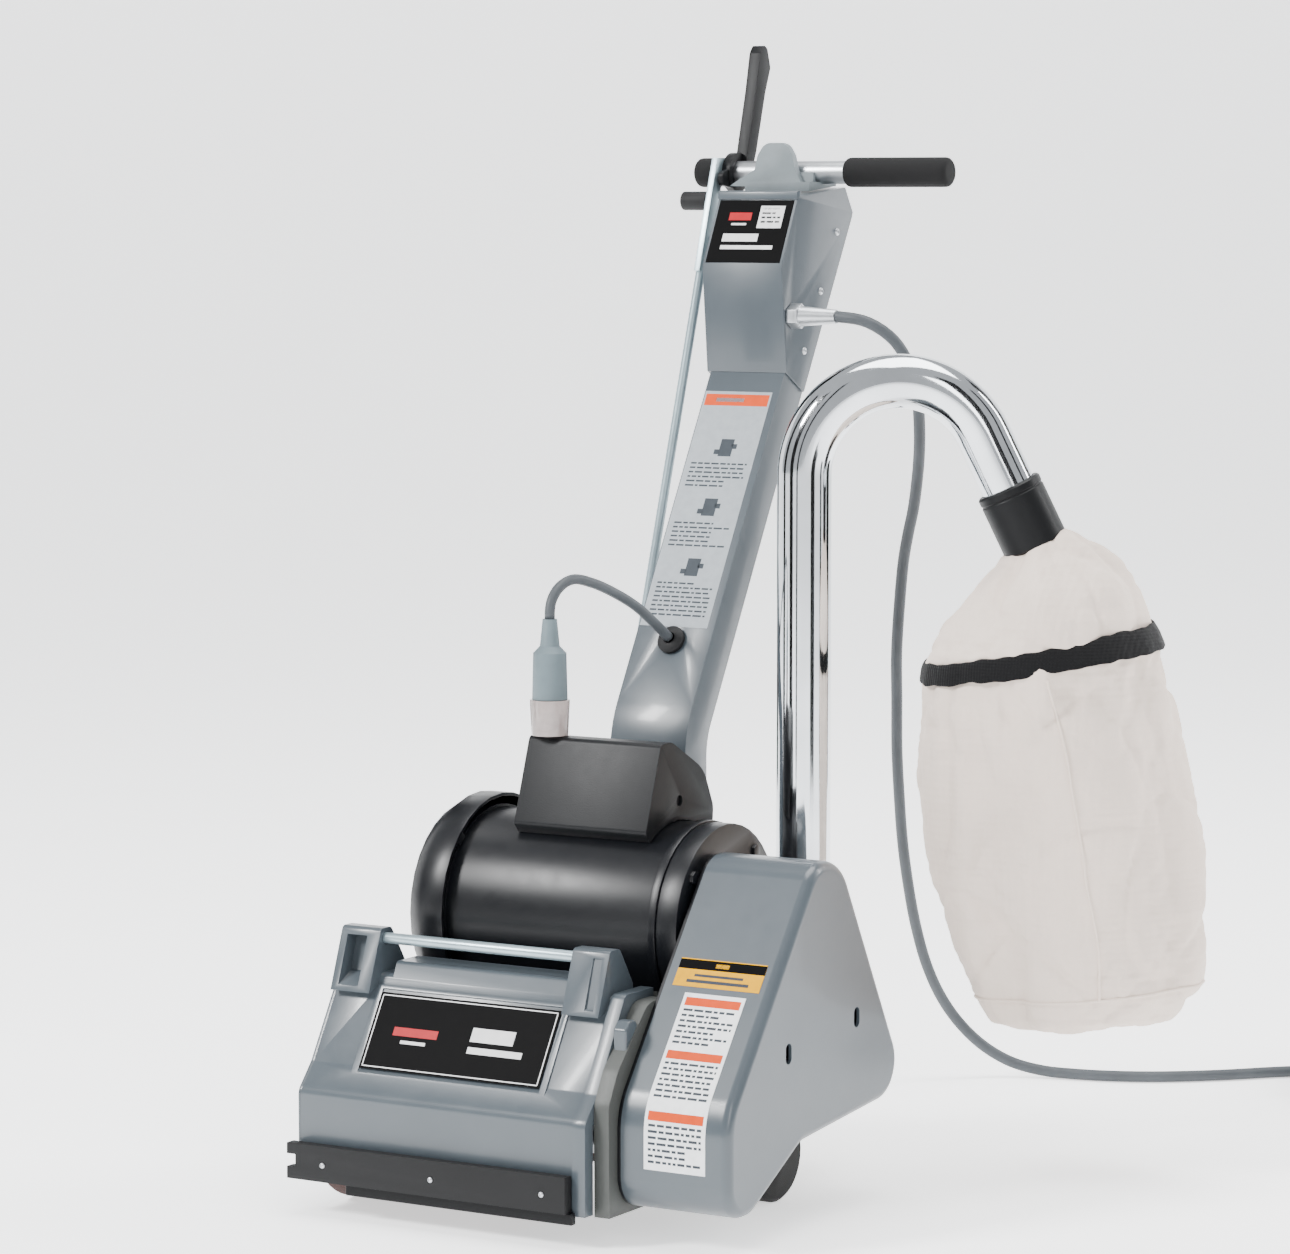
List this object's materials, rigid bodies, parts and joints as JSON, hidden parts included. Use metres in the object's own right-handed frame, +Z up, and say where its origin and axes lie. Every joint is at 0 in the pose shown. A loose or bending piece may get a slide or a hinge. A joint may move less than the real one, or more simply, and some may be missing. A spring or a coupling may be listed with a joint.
{
  "type": "floor drum sander",
  "caption": "Walk-behind floor drum sander with a belt guard, top motor, wheel lift lever, chrome dust pipe, cloth bag and mains cord.",
  "frame": {"origin": "on the floor, under the middle of the box round everything but the mains cord, its coil and its plug", "axes": "+Z up, -Y towards the front, where the abrasive drum is, +X towards the side with the belt guard, along the drum axis"},
  "size_m": [0.7873, 1.1475, 1.0329],
  "materials": {
    "body_paint": "grey-blue hammertone paint",
    "black_paint": "gloss black paint",
    "black_plastic": "moulded black plastic",
    "grey_plastic": "moulded grey plastic",
    "black_rubber": "black rubber",
    "wheel_rubber": "non-marking rubber tread",
    "zinc_steel": "zinc plated steel",
    "chrome": "polished chrome",
    "cast_metal": "cast and painted grey",
    "abrasive": "coated abrasive on cloth",
    "bag_cloth": "unbleached cotton cloth",
    "bag_elastic": "black woven elastic",
    "cord_jacket": "grey cord jacket",
    "clear_plastic": "translucent plastic",
    "switch_red": "red rocker"
  },
  "bodies": {
    "base": {"chassis": "cast_metal", "front_cover": "body_paint", "lift_handle": "zinc_steel", "front_strip": "black_rubber", "drum_bearing": "zinc_steel", "motor_body": "black_paint", "motor_fan_cap": "black_paint", "motor_end_bell": "black_paint", "motor_foot": "black_paint", "motor_wiring_box": "black_plastic", "fan_housing": "cast_metal", "pipe_socket": "cast_metal", "drive_belt": "black_rubber", "fan_belt": "black_rubber", "belt_guard": "body_paint", "guard_back_plate": "black_paint", "caster_plate": "zinc_steel", "column": "body_paint", "control_box": "body_paint", "control_box_cover": "body_paint", "switch_bezel": "black_plastic", "handlebar": "zinc_steel", "bar_saddle": "grey_plastic", "grip_right": "black_rubber", "grip_left": "black_rubber", "dust_pipe": "chrome", "pipe_collar": "black_rubber", "dust_bag": "bag_cloth", "bag_band": "bag_elastic", "lead_grommet": "black_rubber", "lead_socket": "clear_plastic", "lead_connector": "grey_plastic", "motor_lead": "cord_jacket", "strain_relief": "zinc_steel", "mains_cord": "cord_jacket", "cord_coil": "cord_jacket", "cord_tail": "cord_jacket", "mains_plug": "black_rubber"},
    "drum_unit": {"abrasive_sleeve": "abrasive", "drum": "black_rubber", "drum_shaft": "zinc_steel", "drum_pulley": "cast_metal"},
    "motor_rotor": {"motor_shaft": "zinc_steel", "motor_pulley": "cast_metal"},
    "fan_rotor": {"fan_wheel": "zinc_steel", "fan_shaft": "zinc_steel", "fan_pulley": "cast_metal"},
    "carriage": {"wheel_carriage": "zinc_steel", "wheel_axle": "zinc_steel"},
    "left_wheel": {"wheel_left": "wheel_rubber"},
    "right_wheel": {"wheel_right": "wheel_rubber"},
    "lever": {"lift_lever": "black_plastic"},
    "rod": {"lift_rod": "zinc_steel", "rod_stub": "black_rubber"},
    "caster_swivel": {"caster_fork": "zinc_steel"},
    "caster_roller": {"caster_wheel": "wheel_rubber"},
    "door": {"drum_door": "body_paint", "door_knob": "black_plastic"},
    "switch": {"switch_rocker": "switch_red"}
  },
  "joints": [
    {"name": "drum_spin", "type": "hinge", "parent": "base", "child": "drum_unit", "pos_m": [-0.2, -0.23135, 0.0762], "axis": [1, 0, 0], "continuous": true},
    {"name": "motor_spin", "type": "hinge", "parent": "base", "child": "motor_rotor", "pos_m": [0.01, -0.09535, 0.25], "axis": [1, 0, 0], "continuous": true},
    {"name": "fan_spin", "type": "hinge", "parent": "base", "child": "fan_rotor", "pos_m": [0, -0.02335, 0.128], "axis": [1, 0, 0], "continuous": true},
    {"name": "carriage_tilt", "type": "hinge", "parent": "base", "child": "carriage", "pos_m": [-0.155, -0.10935, 0.096], "axis": [-1, 0, 0], "range_deg": [0, 7.4]},
    {"name": "left_wheel_roll", "type": "hinge", "parent": "carriage", "child": "left_wheel", "pos_m": [-0.2875, -0.06835, 0.042], "axis": [1, 0, 0], "continuous": true},
    {"name": "right_wheel_roll", "type": "hinge", "parent": "carriage", "child": "right_wheel", "pos_m": [0.0255, -0.06835, 0.042], "axis": [1, 0, 0], "continuous": true},
    {"name": "lever_swing", "type": "hinge", "parent": "base", "child": "lever", "pos_m": [-0.204, 0.27525, 0.911], "axis": [1, 0, 0], "range_deg": [0, 30.6]},
    {"name": "rod_travel", "type": "slide", "parent": "base", "child": "rod", "axis": [0, -0.3074, -0.9516], "range_m": [0, 0.0141]},
    {"name": "caster_turn", "type": "hinge", "parent": "base", "child": "caster_swivel", "pos_m": [-0.142, 0.09165, 0.1], "axis": [0, 0, 1], "continuous": true},
    {"name": "caster_roll", "type": "hinge", "parent": "caster_swivel", "child": "caster_roller", "pos_m": [-0.142, 0.11165, 0.028], "axis": [1, 0, 0], "continuous": true},
    {"name": "door_swing", "type": "hinge", "parent": "base", "child": "door", "pos_m": [-0.313, -0.11935, 0.085], "axis": [0, 0, -1], "range_deg": [0, 100]},
    {"name": "switch_rock", "type": "hinge", "parent": "base", "child": "switch", "pos_m": [-0.1435, 0.28982, 0.82475], "axis": [-1, 0, 0], "range_deg": [0, 13]}
  ],
  "couplings": [
    {"joint": "motor_spin", "follows": "drum_spin", "ratio": 1.2941},
    {"joint": "fan_spin", "follows": "drum_spin", "ratio": 1.4667},
    {"joint": "lever_swing", "follows": "carriage_tilt", "ratio": 4.12},
    {"joint": "rod_travel", "follows": "carriage_tilt", "m_per_rad": 0.1083}
  ]
}
